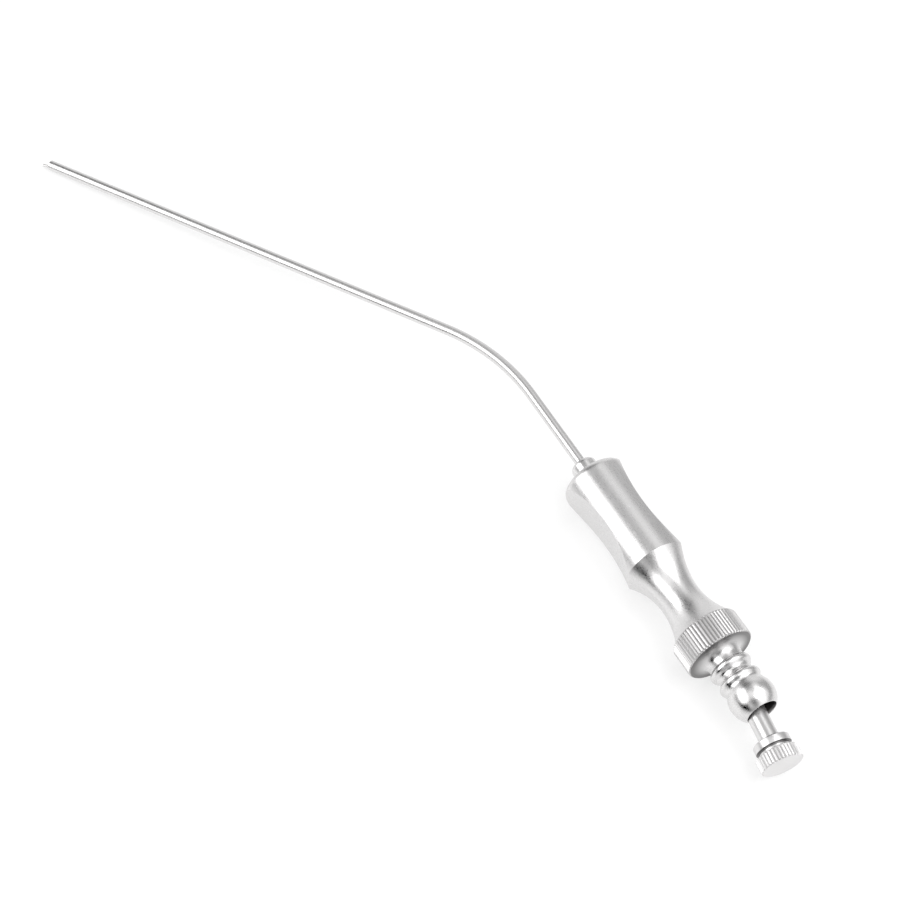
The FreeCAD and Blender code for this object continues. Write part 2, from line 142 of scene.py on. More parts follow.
def connector_outline():
    """The connector's closed outline, from the mouth over the outside and back along the bore."""
    beads = [(BALL_X, 0.0, BALL_RADIUS)]
    for number in range(2):
        beads.append((BARB_X + number * BARB_PITCH, BARB_RADIUS - BARB_ARC, BARB_ARC))
    outline = [(0.0, MOUTH_RADIUS)]
    angle = 180 - math.degrees(math.acos(BALL_X / BALL_RADIUS))
    for bead, following in zip(beads, beads[1:]):
        joint, ends = valley(bead, following, VALLEY_ARC, VALLEY_STEPS)
        outline += arc_points(*bead, angle, ends[0] + 180, ROUND_STEPS)
        outline += joint[1:-1]
        angle = ends[1] + 180
    last = beads[-1]
    foot = math.degrees(math.asin((STEM_RADIUS - last[1]) / last[2]))
    outline += arc_points(*last, angle, foot, ROUND_STEPS)
    outline += arc_points(RING_X - COVE_ARC, STEM_RADIUS + COVE_ARC, COVE_ARC, -90, 0, COVE_STEPS)
    outline += [
        (RING_X, RING_RADIUS - RING_CHAMFER),
        (RING_X + RING_CHAMFER, RING_RADIUS),
        (RING_FRONT - RING_CHAMFER, RING_RADIUS),
        (RING_FRONT, RING_RADIUS - RING_CHAMFER),
        (RING_FRONT, SPIGOT_RADIUS),
        (RING_FRONT + SPIGOT_LENGTH, SPIGOT_RADIUS),
        (RING_FRONT + SPIGOT_LENGTH, AIRWAY_RADIUS),
        (TAPER_LENGTH, AIRWAY_RADIUS),
    ]
    return break_corners(outline, EDGE_BREAK)


def knurl_groove(radius):
    """The straight V groove: how far out the rim reaches at a share of the pitch."""
    flat = KNURL_CREST / 2

    def reach(share):
        from_crest = max(min(share, 1 - share) - flat, 0.0) / (0.5 - flat)
        return radius - KNURL_DEPTH * from_crest if from_crest else math.inf
    return reach


def sector_mesh(name, outline, sectors, columns, groove=None):
    """One sector of a turned piece: its closed outline at several turns within a pitch."""
    mesh = bmesh.new()
    pitch = 2 * math.pi / sectors
    rows = []
    for share in columns + [1.0]:
        turn = pitch * share
        limit = groove(share) if groove else math.inf
        row = []
        for x, radius in outline:
            radius = min(radius, limit)
            place = Vector((x, radius * math.cos(turn), radius * math.sin(turn)))
            row.append(mesh.verts.new(place * MM))
        rows.append(row)
    for near, far in zip(rows, rows[1:]):
        for index in range(len(outline)):
            mesh.faces.new((near[index - 1], near[index], far[index], far[index - 1]))
    data = bpy.data.meshes.new(name)
    mesh.to_mesh(data)
    mesh.free()
    return data


def add_node(tree, kind, settings=None, links=None):
    """A node of a tree with its settings, and with links into its sockets, by name or number."""
    node = tree.nodes.new(kind)
    for name, value in (settings or {}).items():
        if isinstance(name, str) and hasattr(node, name):
            setattr(node, name, value)
        else:
            node.inputs[name].default_value = value
    for name, source in (links or {}).items():
        tree.links.new(source, node.inputs[name])
    return node


def new_tree(name, inputs):
    """A geometry tree with its named inputs."""
    tree = bpy.data.node_groups.new(name, "GeometryNodeTree")
    for label, kind in (("Geometry", "NodeSocketGeometry"), *inputs):
        tree.interface.new_socket(label, in_out="INPUT", socket_type=kind)
    tree.interface.new_socket("Geometry", in_out="OUTPUT", socket_type="NodeSocketGeometry")
    return tree, add_node(tree, "NodeGroupInput").outputs


def turning_tree():
    """Geometry nodes that repeat a sector round the X axis, weld the copies and finish them."""
    tree, given = new_tree("turned_piece", (
        ("Sectors", "NodeSocketInt"), ("Weld", "NodeSocketFloat"), ("Finish", "NodeSocketMaterial"),
    ))
    copies = add_node(tree, "GeometryNodePoints", None, {"Count": given["Sectors"]})
    number = add_node(tree, "GeometryNodeInputIndex")
    pitch = add_node(tree, "ShaderNodeMath", {"operation": "DIVIDE", 0: 2 * math.pi}, {1: given["Sectors"]})
    turn = add_node(tree, "ShaderNodeMath", {"operation": "MULTIPLY"},
                    {0: number.outputs["Index"], 1: pitch.outputs["Value"]})
    rotation = add_node(tree, "ShaderNodeCombineXYZ", None, {"X": turn.outputs["Value"]})
    ring = add_node(tree, "GeometryNodeInstanceOnPoints", None, {
        "Points": copies.outputs["Points"],
        "Instance": given["Geometry"],
        "Rotation": rotation.outputs["Vector"],
    })
    real = add_node(tree, "GeometryNodeRealizeInstances", None, {"Geometry": ring.outputs["Instances"]})
    welded = add_node(tree, "GeometryNodeMergeByDistance", None,
                      {"Geometry": real.outputs["Geometry"], "Distance": given["Weld"]})
    finish = add_node(tree, "GeometryNodeSetMaterial", None,
                      {"Geometry": welded.outputs["Geometry"], "Material": given["Finish"]})
    add_node(tree, "NodeGroupOutput", None, {"Geometry": finish.outputs["Geometry"]})
    return tree


def grown_mesh(name, base, tree, settings, place):
    """The plain mesh that a tree makes from a mesh or a curve, put in its place."""
    grower = bpy.data.objects.new(name + "_base", base)
    bpy.context.scene.collection.objects.link(grower)
    modifier = grower.modifiers.new(tree.name, "NODES")
    modifier.node_group = tree
    for socket in tree.interface.items_tree:
        if socket.in_out == "INPUT" and socket.name in settings:
            modifier[socket.identifier] = settings[socket.name]
    bpy.context.view_layer.update()
    data = bpy.data.meshes.new_from_object(grower.evaluated_get(bpy.context.evaluated_depsgraph_get()))
    bpy.data.objects.remove(grower)
    data.name = name
    data.transform(place)
    return data


turned_piece = turning_tree()
WELD = 0.0004 * MM


def turn_piece(name, outline, sectors, columns, place, finish, groove=None):
    """A turned piece's mesh, made from one sector of its outline."""
    sector = sector_mesh(name + "_sector", outline, sectors, columns, groove)
    return grown_mesh(name, sector, turned_piece, {"Sectors": sectors, "Weld": WELD, "Finish": finish}, place)


def linear(hex_colour):
    """An sRGB hex value as linear red, green, blue and alpha."""
    channels = [int(hex_colour[index:index + 2], 16) / 255 for index in (1, 3, 5)]
    curve = [c / 12.92 if c <= 0.04045 else ((c + 0.055) / 1.055) ** 2.4 for c in channels]
    return (*curve, 1.0)


def new_material(name):
    """An empty material and its tree."""
    material = bpy.data.materials.new(name)
    material.use_nodes = True
    material.node_tree.nodes.clear()
    return material, material.node_tree


def piece_coordinates(tree, place):
    """Object coordinates turned into a piece's own frame, in millimetres."""
    inverse = place.inverted()
    coordinates = add_node(tree, "ShaderNodeTexCoord")
    return add_node(tree, "ShaderNodeMapping", {
        "Location": inverse.translation / MM,
        "Rotation": inverse.to_euler(),
        "Scale": (1 / MM, 1 / MM, 1 / MM),
    }, {"Vector": coordinates.outputs["Object"]}).outputs["Vector"]


def round_the_axis(tree, place):
    """The direction round a piece's axis, in which its tool marks run."""
    coordinates = add_node(tree, "ShaderNodeTexCoord")
    from_start = add_node(tree, "ShaderNodeVectorMath", {"operation": "SUBTRACT", 1: place.translation},
                          {0: coordinates.outputs["Object"]})
    axis = place.to_3x3() @ Vector((1, 0, 0))
    return add_node(tree, "ShaderNodeVectorMath", {"operation": "CROSS_PRODUCT", 0: axis},
                    {1: from_start.outputs["Vector"]}).outputs["Vector"]


# The numbers of the Mix node's sockets, which share their names.
MIX_FACTOR, MIX_VALUE_A, MIX_VALUE_B, MIX_COLOUR_A, MIX_COLOUR_B = 0, 2, 3, 6, 7
MIXED_VALUE, MIXED_COLOUR = 0, 2


def turned_steel(name, place, line_spacing, shine, dull_and_shaded_places=()):
    """Turned stainless steel, polished, with rougher places and painted shade in bores, behind rims and in
    knurl grooves.
    """
    # Turned stainless steel is bright and nearly neutral. The tool leaves rings about 0.05 mm
    # apart, which draw each highlight out along the piece; they are drawn at line_spacing so
    # that they show. Some places are rougher, some have a tone of their own, and some are
    # painted darker as painted shade: bores, faces behind a rim and the grooves of a knurl,
    # where shade falls. Each of these places has its colour and roughness, then where it starts
    # and ends and how soft its edge is, along the axis and out from it.
    material, tree = new_material(name)
    own = piece_coordinates(tree, place)
    parts = add_node(tree, "ShaderNodeSeparateXYZ", None, {"Vector": own})
    flat = add_node(tree, "ShaderNodeCombineXYZ", None, {"Y": parts.outputs["Y"], "Z": parts.outputs["Z"]})
    radius = add_node(tree, "ShaderNodeVectorMath", {"operation": "LENGTH"}, {0: flat.outputs["Vector"]})
    travel = add_node(tree, "ShaderNodeMath", {"operation": "ADD"},
                      {0: parts.outputs["X"], 1: radius.outputs["Value"]})
    rings = add_node(tree, "ShaderNodeTexNoise", {
        "noise_dimensions": "1D", "Scale": 1 / line_spacing, "Detail": 3.0, "Roughness": 0.7,
    }, {"W": travel.outputs["Value"]})
    handling = add_node(tree, "ShaderNodeTexNoise", {"Scale": 3.0, "Detail": 5.0, "Roughness": 0.7},
                        {"Vector": own})
    marks = add_node(tree, "ShaderNodeMath", {"operation": "MULTIPLY_ADD", 1: 0.5},
                     {0: rings.outputs["Fac"], 2: handling.outputs["Fac"]})
    roughness = add_node(tree, "ShaderNodeMapRange", {
        "From Min": 0.45, "From Max": 1.05, "To Min": shine[0], "To Max": shine[1],
    }, {"Value": marks.outputs["Value"]})
    bump = add_node(tree, "ShaderNodeBump", {"Strength": 1.0, "Distance": 0.004 * MM},
                    {"Height": marks.outputs["Value"]})
    bright = linear("#DDDCDC")
    steel = add_node(tree, "ShaderNodeBsdfPrincipled", {
        "Metallic": 1.0, "Base Color": bright, "Anisotropic": 0.4, "Anisotropic Rotation": 0.25,
    }, {"Normal": bump.outputs["Normal"], "Tangent": round_the_axis(tree, place)})
    shade = None
    matt = roughness.outputs["Result"]
    for dull_and_shade_colour, dull_roughness, along, out in dull_and_shaded_places:
        inside = None
        for value, (low, high, edge) in ((parts.outputs["X"], along), (radius.outputs["Value"], out)):
            middle = add_node(tree, "ShaderNodeMath", {"operation": "SUBTRACT", 1: (low + high) / 2},
                              {0: value})
            away = add_node(tree, "ShaderNodeMath", {"operation": "ABSOLUTE"}, {0: middle.outputs["Value"]})
            within = add_node(tree, "ShaderNodeMapRange", {
                "From Min": (high - low) / 2, "From Max": (high - low) / 2 - edge,
            }, {"Value": away.outputs["Value"]})
            if inside:
                within = add_node(tree, "ShaderNodeMath", {"operation": "MULTIPLY"},
                                  {0: within.outputs["Result"], 1: inside})
            inside = within.outputs[0]
        # The colour mixed in here is the place's own tone, or painted shade where the place is shaded.
        mixed = add_node(tree, "ShaderNodeMix",
                         {"data_type": "RGBA", MIX_COLOUR_A: bright, MIX_COLOUR_B: linear(dull_and_shade_colour)},
                         {MIX_FACTOR: inside})
        if shade:
            tree.links.new(shade, mixed.inputs[MIX_COLOUR_A])
        shade = mixed.outputs[MIXED_COLOUR]
        matt = add_node(tree, "ShaderNodeMix", {MIX_VALUE_B: dull_roughness},
                        {MIX_FACTOR: inside, MIX_VALUE_A: matt}).outputs[MIXED_VALUE]
    if shade:
        tree.links.new(shade, steel.inputs["Base Color"])
    tree.links.new(matt, steel.inputs["Roughness"])
    add_node(tree, "ShaderNodeOutputMaterial", None, {"Surface": steel.outputs["BSDF"]})
    return material


SHARP_TURN = math.radians(14)


def show_piece(name, data, node):
    """A finished mesh as a piece that stands for its solid and rides with it."""
    mesh = bmesh.new()
    mesh.from_mesh(data)
    bmesh.ops.recalc_face_normals(mesh, faces=mesh.faces)
    for face in mesh.faces:
        face.smooth = True
    mesh.to_mesh(data)
    mesh.free()
    data.set_sharp_from_angle(angle=SHARP_TURN)
    piece = bpy.data.objects.new(name, data)
    bpy.context.scene.collection.objects.link(piece)
    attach(piece, "root")
    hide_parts(node)
    return piece


connector_steel = turned_steel("turned_stainless_steel", instrument, 0.22, (0.2, 0.33), (
    # Painted shade: the bore is painted dark grey where shade fills it, and is rougher.
    ("#4A4848", 0.4, (0.05, TAPER_LENGTH, 0.05), (-MOUTH_RADIUS, MOUTH_RADIUS, 0.05)),
    # Painted shade: the ring's rear face and the cove are painted darker, more so towards the rim.
    ("#7E7D7D", 0.4, (RING_X - COVE_ARC, RING_X + 0.1, 0.05), (STEM_RADIUS, 3 * STEM_RADIUS, 2.2)),
    ("#D6D5D5", 0.36, (RING_X + 0.1, RING_FRONT, 0.05), (0.0, 2 * RING_RADIUS, 0.05)),
    # Painted shade: the bottoms of the knurl's grooves are painted darker.
    ("#C0BFBF", 0.45, (RING_X + 0.1, RING_FRONT, 0.05), (0.0, RING_RADIUS - 0.4 * KNURL_DEPTH, 0.05)),
))
knurl_columns = [0.0, KNURL_CREST / 2, 0.325, 0.5, 0.675, 1 - KNURL_CREST / 2]
connector_mesh = turn_piece("hose_connector_turned", connector_outline(), RING_RIDGES, knurl_columns,
                            instrument, connector_steel, knurl_groove(RING_RADIUS))
show_piece("hose_connector_turned", connector_mesh, "hose_connector")


# Grip. Turned from stainless bar with a sharp ridge and a slim waist, then milled across the
# bend plane: a long finger scoop on the hollow side and a thumb scoop opposite. A drop-shaped
# vent opens the airway on the thumb side. It is satin brushed along the handle.
GRIP_RADIUS = 6.2
WAIST_RADIUS = 3.75
WAIST_X = 25.0
RIDGE_X = 32.7
RIM_X = 53.9
RIM_ROUNDING = 1.5
SCOOP_X = 42.6
SCOOP_ARC = 34.0
FINGER_SCOOP = 4.05
THUMB_SCOOP = 3.6
WAIST_SCOOP = 3.55
VENT_X = 41.6
VENT_RADIUS = 1.3
VENT_TAIL_LENGTH = 3.6
VENT_TAIL_RADIUS = 0.45
COLLAR_SPIGOT_RADIUS = 1.9
COLLAR_SPIGOT_LENGTH = 5.0
FIT = 0.02
FLAT_POINTS = 16
ROUND_POINTS = 36
WAIST_STEPS = 44
SCOOP_STEPS = 56
RIM_STEPS = 12
FRONT_FACE_RINGS = (4.0, 3.2, 2.5)


def hollow(lowest, radius, middle, place):
    """How far out a hollow arc is at a place, from its lowest point."""
    return lowest + radius - math.sqrt(radius ** 2 - (place - middle) ** 2)


def arc_from_rise(reach, rise):
    """The radius of the arc that rises so far over that reach, level at its lowest point."""
    return (reach ** 2 + rise ** 2) / (2 * rise)


def grip_radius(x):
    """The turned outside's radius at x, before milling."""
    if x < RIDGE_X:
        neck = arc_from_rise(RIDGE_X - WAIST_X, GRIP_RADIUS - WAIST_RADIUS)
        return hollow(WAIST_RADIUS, neck, WAIST_X, x)
    past = x - (RIM_X - RIM_ROUNDING)
    if past <= 0:
        return GRIP_RADIUS
    return GRIP_RADIUS - RIM_ROUNDING + math.sqrt(max(RIM_ROUNDING ** 2 - past ** 2, 0.0))


def scoop_distance(x, lowest):
    """How far from the axis the milled scoop is at x."""
    ridge = hollow(lowest, SCOOP_ARC, SCOOP_X, RIDGE_X)
    if x >= RIDGE_X:
        return hollow(lowest, SCOOP_ARC, SCOOP_X, x)
    waist = arc_from_rise(RIDGE_X - WAIST_X, ridge - WAIST_SCOOP)
    return hollow(WAIST_SCOOP, waist, WAIST_X, x)


def grip_section(x):
    """The grip's outside at x: flat to the fingers and the thumb, and round between them."""
    radius = grip_radius(x)
    finger = min(scoop_distance(x, FINGER_SCOOP), radius)
    thumb = min(scoop_distance(x, THUMB_SCOOP), radius)
    finger_turn = math.acos(finger / radius)
    thumb_turn = math.acos(thumb / radius)
    finger_half = radius * math.sin(finger_turn)
    thumb_half = radius * math.sin(thumb_turn)
    round_turn = math.pi - thumb_turn - finger_turn
    section = []
    for step in range(FLAT_POINTS):
        section.append((x, finger, finger_half * (2 * step / FLAT_POINTS - 1)))
    for step in range(ROUND_POINTS):
        turn = finger_turn + round_turn * step / ROUND_POINTS
        section.append((x, radius * math.cos(turn), radius * math.sin(turn)))
    for step in range(FLAT_POINTS):
        section.append((x, -thumb, thumb_half * (1 - 2 * step / FLAT_POINTS)))
    for step in range(ROUND_POINTS):
        turn = math.pi + thumb_turn + round_turn * step / ROUND_POINTS
        section.append((x, radius * math.cos(turn), radius * math.sin(turn)))
    return section


def round_section(x, radius):
    """A circle at x, with a point beside each point of the outside."""
    outside = grip_section(RIM_X)
    return [(x, *(Vector(point[1:]).normalized() * radius)) for point in outside]


def stations(start, end, count):
    """Places evenly spaced from start to end, both included."""
    return [start + (end - start) * step / count for step in range(count + 1)]


def grip_mesh():
    """The grip as rings: over the outside, across the front face and back along the bores."""
    spigot_end = RING_FRONT + SPIGOT_LENGTH + FIT
    collar_end = RIM_X - COLLAR_SPIGOT_LENGTH - FIT
    places = stations(RING_FRONT, RIDGE_X, WAIST_STEPS)
    places += stations(RIDGE_X, RIM_X - RIM_ROUNDING, SCOOP_STEPS)[1:]
    for angle in stations(0.0, 90.0, RIM_STEPS)[1:]:
        places.append(RIM_X - RIM_ROUNDING + RIM_ROUNDING * math.sin(math.radians(angle)))
    sections = [grip_section(x) for x in places]
    circles = [(RIM_X, radius) for radius in FRONT_FACE_RINGS]
    circles += [
        (RIM_X, COLLAR_SPIGOT_RADIUS + FIT), (collar_end, COLLAR_SPIGOT_RADIUS + FIT),
        (collar_end, AIRWAY_RADIUS), (spigot_end, AIRWAY_RADIUS),
        (spigot_end, SPIGOT_RADIUS + FIT), (RING_FRONT, SPIGOT_RADIUS + FIT),
    ]
    sections += [round_section(x, radius) for x, radius in circles]
    mesh = bmesh.new()
    rings = [[mesh.verts.new(Vector(point) * MM) for point in section] for section in sections]
    for near, far in zip(rings, rings[1:] + rings[:1]):
        for index in range(len(near)):
            mesh.faces.new((near[index - 1], near[index], far[index], far[index - 1]))
    bmesh.ops.remove_doubles(mesh, verts=mesh.verts, dist=WELD)
    bmesh.ops.recalc_face_normals(mesh, faces=mesh.faces)
    data = bpy.data.meshes.new("grip_turned_and_milled")
    mesh.to_mesh(data)
    mesh.free()
    return data


def vent_cutter():
    """A drop-shaped bar that reaches from outside the thumb scoop to the middle of the airway."""
    lean = math.degrees(math.acos((VENT_RADIUS - VENT_TAIL_RADIUS) / VENT_TAIL_LENGTH))
    drop = arc_points(VENT_X, 0, VENT_RADIUS, lean, 360 - lean, 40)
    drop += arc_points(VENT_X + VENT_TAIL_LENGTH, 0, VENT_TAIL_RADIUS, -lean, lean, 16)
    mesh = bmesh.new()
    ends = []
    for y in (-1.2 * GRIP_RADIUS, 0.0):
        ends.append([mesh.verts.new(Vector((x, y, z)) * MM) for x, z in drop])
        mesh.faces.new(ends[-1])
    near, far = ends
    for index in range(len(drop)):
        mesh.faces.new((near[index - 1], near[index], far[index], far[index - 1]))
    bmesh.ops.recalc_face_normals(mesh, faces=mesh.faces)
    data = bpy.data.meshes.new("vent_cutter")
    mesh.to_mesh(data)
    mesh.free()
    return data


def cut_by(data, cutter_data):
    """A mesh less another, as a new mesh."""
    solid = bpy.data.objects.new("solid", data)
    cutter = bpy.data.objects.new("cutter", cutter_data)
    for item in (solid, cutter):
        bpy.context.scene.collection.objects.link(item)
    modifier = solid.modifiers.new("cut", "BOOLEAN")
    modifier.operation = "DIFFERENCE"
    modifier.solver = "EXACT"
    modifier.object = cutter
    bpy.context.view_layer.update()
    result = bpy.data.meshes.new_from_object(solid.evaluated_get(bpy.context.evaluated_depsgraph_get()))
    for item in (solid, cutter):
        bpy.data.objects.remove(item)
    return result


def plain_steel(tree, colour, roughness, bump):
    """Bare steel of one colour, and the material's output."""
    steel = add_node(tree, "ShaderNodeBsdfPrincipled", {"Metallic": 1.0, "Base Color": linear(colour)},
                     {"Roughness": roughness.outputs["Result"], "Normal": bump.outputs["Normal"]})
    add_node(tree, "ShaderNodeOutputMaterial", None, {"Surface": steel.outputs["BSDF"]})


def satin_steel(name, place):
    """Stainless steel brushed along the handle: fine lengthwise grain in shine and surface."""
    # Satin stainless steel reflects softly. The brush leaves lines about 0.05 mm apart and some
    # millimetres long, which are drawn 0.25 mm apart so that they show, over a finer mottle.
    material, tree = new_material(name)
    own = piece_coordinates(tree, place)
    stretched = add_node(tree, "ShaderNodeMapping", {"Scale": (0.5, 4.0, 4.0)}, {"Vector": own})
    lines = add_node(tree, "ShaderNodeTexNoise", {"Scale": 1.0, "Detail": 5.0, "Roughness": 0.65},
                     {"Vector": stretched.outputs["Vector"]})
    mottle = add_node(tree, "ShaderNodeTexNoise", {"Scale": 2.6, "Detail": 5.0, "Roughness": 0.75},
                      {"Vector": own})
    grain = add_node(tree, "ShaderNodeMath", {"operation": "ADD"},
                     {0: lines.outputs["Fac"], 1: mottle.outputs["Fac"]})
    roughness = add_node(tree, "ShaderNodeMapRange", {
        "From Min": 0.65, "From Max": 1.35, "To Min": 0.22, "To Max": 0.38,
    }, {"Value": grain.outputs["Value"]})
    bump = add_node(tree, "ShaderNodeBump", {"Strength": 1.0, "Distance": 0.009 * MM},
                    {"Height": grain.outputs["Value"]})
    plain_steel(tree, "#DCDBDB", roughness, bump)
    return material


grip_data = cut_by(grip_mesh(), vent_cutter())
grip_data.materials.clear()
grip_data.materials.append(satin_steel("satin_brushed_stainless_steel", instrument))
grip_data.transform(instrument)
show_piece("grip_turned_and_milled", grip_data, "grip")


# Collar. A small turned bush round the tube where it leaves the grip. Its spigot is soldered
# into the grip's front face, and its front edge is rounded over.
COLLAR_RADIUS = 2.4
COLLAR_LENGTH = 3.5
COLLAR_ROUNDING = 0.9
COLLAR_EDGE_BREAK = 0.04
COLLAR_SECTORS = 96
TUBE_RADIUS = 1.0
collar_rear = RIM_X - COLLAR_SPIGOT_LENGTH
collar_front = RIM_X + COLLAR_LENGTH
collar_outline = [
    (collar_rear, TUBE_RADIUS + FIT),
    (collar_rear, COLLAR_SPIGOT_RADIUS),
    (RIM_X, COLLAR_SPIGOT_RADIUS),
    (RIM_X, COLLAR_RADIUS),
]
collar_outline += arc_points(collar_front - COLLAR_ROUNDING, COLLAR_RADIUS - COLLAR_ROUNDING,
                             COLLAR_ROUNDING, 90, 0, RIM_STEPS)
collar_outline += [(collar_front, TUBE_RADIUS + FIT)]
collar_steel = turned_steel("turned_stainless_bush", instrument, 0.22, (0.2, 0.34))
collar_mesh = turn_piece("collar_turned", break_corners(collar_outline, COLLAR_EDGE_BREAK),
                         COLLAR_SECTORS, [0.0], instrument, collar_steel)
show_piece("collar_turned", collar_mesh, "collar")


# Cannula. Drawn stainless tube of 2 mm outside diameter, bent once and cut square. It is
# finished by a belt across the tube, which leaves fine rings round it.
TUBE_WALL = 0.15
STRAIGHT_LENGTH = 21.2
BEND_RADIUS = 41.0
BEND_ANGLE = 31.0
TIP_LENGTH = 91.5
TUBE_SIDES = 56
BEND_STEPS = 40


def tube_path():
    """The tube's middle line as a curve: a straight, the bend and the long straight to the tip."""
    bend_start = RIM_X + STRAIGHT_LENGTH
    points = [Vector((collar_rear, 0, 0)), Vector((RIM_X, 0, 0))]
    for angle in stations(0.0, BEND_ANGLE, BEND_STEPS):
        turn = math.radians(angle)
        forward = bend_start + BEND_RADIUS * math.sin(turn)
        points.append(Vector((forward, BEND_RADIUS * (1 - math.cos(turn)), 0)))
    along = Vector((math.cos(turn), math.sin(turn), 0))
    bend_end = points[-1]
    for distance in (0.5 * TIP_LENGTH, TIP_LENGTH):
        points.append(bend_end + along * distance)
    curve = bpy.data.curves.new("tube_path", "CURVE")
    curve.dimensions = "3D"
    spline = curve.splines.new("POLY")
    spline.points.add(len(points) - 1)
    for item, point in zip(spline.points, points):
        item.co = (*(point * MM), 1.0)
    return curve


def drawing_tree():
    """Geometry nodes that draw a tube along a curve: the bore, its wall and its square ends."""
    tree, given = new_tree("drawn_tube", (
        ("Bore Radius", "NodeSocketFloat"), ("Wall", "NodeSocketFloat"), ("Sides", "NodeSocketInt"),
        ("Weld", "NodeSocketFloat"), ("Finish", "NodeSocketMaterial"),
    ))
    length = add_node(tree, "GeometryNodeSplineParameter")
    path = add_node(tree, "GeometryNodeStoreNamedAttribute", {"data_type": "FLOAT", "Name": "along_tube"},
                    {"Geometry": given["Geometry"], "Value": length.outputs["Length"]})
    ring = add_node(tree, "GeometryNodeCurvePrimitiveCircle", None,
                    {"Resolution": given["Sides"], "Radius": given["Bore Radius"]})
    bore = add_node(tree, "GeometryNodeCurveToMesh", None,
                    {"Curve": path.outputs["Geometry"], "Profile Curve": ring.outputs["Curve"]})
    wall = add_node(tree, "GeometryNodeExtrudeMesh", {"mode": "FACES", "Individual": False},
                    {"Mesh": bore.outputs["Mesh"], "Offset Scale": given["Wall"]})
    inside = add_node(tree, "GeometryNodeFlipFaces", None, {"Mesh": bore.outputs["Mesh"]})
    both = add_node(tree, "GeometryNodeJoinGeometry", None, {0: wall.outputs["Mesh"]})
    tree.links.new(inside.outputs["Mesh"], both.inputs[0])
    real = add_node(tree, "GeometryNodeRealizeInstances", None, {"Geometry": both.outputs["Geometry"]})
    welded = add_node(tree, "GeometryNodeMergeByDistance", None,
                      {"Geometry": real.outputs["Geometry"], "Distance": given["Weld"]})
    finish = add_node(tree, "GeometryNodeSetMaterial", None,
                      {"Geometry": welded.outputs["Geometry"], "Material": given["Finish"]})
    add_node(tree, "NodeGroupOutput", None, {"Geometry": finish.outputs["Geometry"]})
    return tree


def tube_steel(name):
    """Drawn stainless tube, belt finished across: fine rings that follow the bend."""
    # A belt-finished tube is bright, with rings round it about 0.05 mm apart, drawn at 0.18 mm.
    material, tree = new_material(name)
    along = add_node(tree, "ShaderNodeAttribute", {"attribute_name": "along_tube"})
    travel = add_node(tree, "ShaderNodeCombineXYZ", None, {"X": along.outputs["Fac"]})
    coordinates = add_node(tree, "ShaderNodeTexCoord")
    rings = add_node(tree, "ShaderNodeVectorMath", {"operation": "SCALE", "Scale": 5.5 / MM},
                     {0: travel.outputs["Vector"]})
    wander = add_node(tree, "ShaderNodeVectorMath", {"operation": "SCALE", "Scale": 0.9 / MM},
                      {0: coordinates.outputs["Object"]})
    place = add_node(tree, "ShaderNodeVectorMath", {"operation": "ADD"},
                     {0: rings.outputs["Vector"], 1: wander.outputs["Vector"]})
    grain = add_node(tree, "ShaderNodeTexNoise", {"Scale": 1.0, "Detail": 4.0, "Roughness": 0.65},
                     {"Vector": place.outputs["Vector"]})
    roughness = add_node(tree, "ShaderNodeMapRange", {
        "From Min": 0.3, "From Max": 0.7, "To Min": 0.2, "To Max": 0.34,
    }, {"Value": grain.outputs["Fac"]})
    bump = add_node(tree, "ShaderNodeBump", {"Strength": 1.0, "Distance": 0.006 * MM},
                    {"Height": grain.outputs["Fac"]})
    plain_steel(tree, "#DCDBDB", roughness, bump)
    return material


cannula_data = grown_mesh("cannula_tube", tube_path(), drawing_tree(), {
    "Bore Radius": (TUBE_RADIUS - TUBE_WALL) * MM,
    "Wall": TUBE_WALL * MM,
    "Sides": TUBE_SIDES,
    "Weld": WELD,
    "Finish": tube_steel("drawn_stainless_tube"),
}, instrument)
show_piece("cannula_tube", cannula_data, "cannula")


# Stylet hub. A turned knob, pushed by its shaft into the hose mouth, where it leans on the
# edge. Behind a thin flange and a groove its head has a straight knurl and a flat matt end.
SHAFT_RADIUS = 1.8
SHAFT_INSIDE = 9.0
SHAFT_OUTSIDE = 4.9
FLANGE_RADIUS = 3.25
FLANGE_WIDTH = 1.4
GROOVE_RADIUS = 2.75
GROOVE_WIDTH = 0.9
HEAD_RADIUS = 3.8
HEAD_WIDTH = 2.45
HEAD_RIDGES = 36
HUB_CHAMFER = 0.2
HUB_EDGE_BREAK = 0.05
HUB_YAW = math.radians(8.0)
HUB_DROOP = math.radians(3.15)
WIRE_RADIUS = 0.25
WIRE_SOCKET_DEPTH = 4.0


def hub_frame():
    """The hub's own frame, with X running back from the shaft's inner end."""
    back = Vector((
        -math.cos(HUB_YAW) * math.cos(HUB_DROOP),
        math.sin(HUB_YAW) * math.cos(HUB_DROOP),
        -math.sin(HUB_DROOP),
    ))
    tilt = math.acos(-back.x)
    leaning = Vector((0, back.y, back.z)).normalized()
    room = MOUTH_RADIUS - FIT - SHAFT_RADIUS / math.cos(tilt)
    inner_end = (leaning * room - back * SHAFT_INSIDE) * MM
    side = Vector((0, 0, 1)).cross(back).normalized()
    return instrument @ frame_matrix(back, side, back.cross(side), inner_end)


